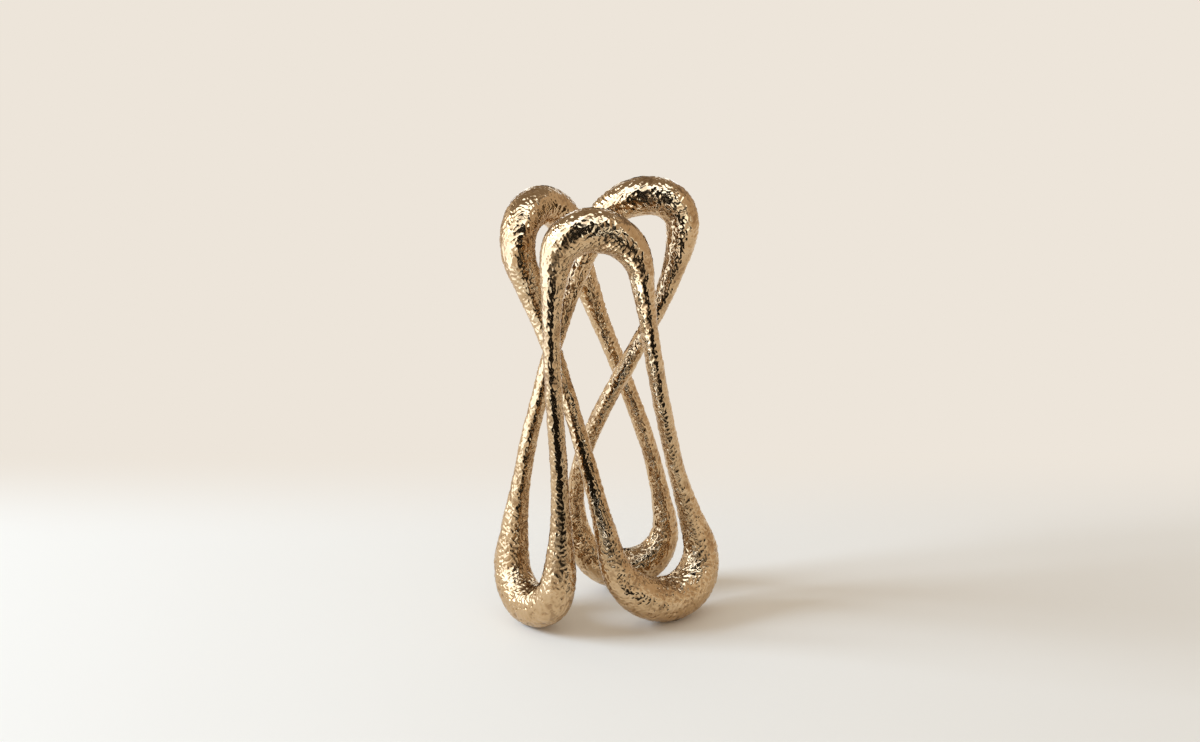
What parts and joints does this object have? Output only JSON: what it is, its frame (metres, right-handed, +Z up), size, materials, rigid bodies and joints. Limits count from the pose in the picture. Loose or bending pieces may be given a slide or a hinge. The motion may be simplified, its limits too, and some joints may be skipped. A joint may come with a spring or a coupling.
{
  "type": "metal knot sculpture",
  "caption": "Free-standing interlaced knot of thick rough-cast gold-toned metal strand, rounded crowns above and rounded feet below, thinning at the crossed legs. Table decoration.",
  "frame": {"origin": "centre of the bounding box's bottom face, on the table under the knot", "axes": "+Z up from the table, +X to the viewer's right, +Y away from the viewer"},
  "size_m": [0.1546, 0.1183, 0.3],
  "materials": {
    "cast_metal": "rough-cast and crinkled, with an antique gold tone",
    "weld_metal": "dressed flush and toned with the castings",
    "dowel_steel": "plain ground rod",
    "felt": "dense felt"
  },
  "bodies": {
    "root": {"crown_front": "cast_metal", "crown_left": "cast_metal", "crown_right": "cast_metal", "foot_left": "cast_metal", "foot_right": "cast_metal", "foot_back": "cast_metal", "weld_front_left": "weld_metal", "weld_right_left": "weld_metal", "weld_right_back": "weld_metal", "weld_left_back": "weld_metal", "weld_left_right": "weld_metal", "weld_front_right": "weld_metal", "dowel_front_left": "dowel_steel", "dowel_right_left": "dowel_steel", "dowel_right_back": "dowel_steel", "dowel_left_back": "dowel_steel", "dowel_left_right": "dowel_steel", "dowel_front_right": "dowel_steel", "pad_left": "felt", "pad_right": "felt", "pad_back": "felt"}
  },
  "joints": []
}
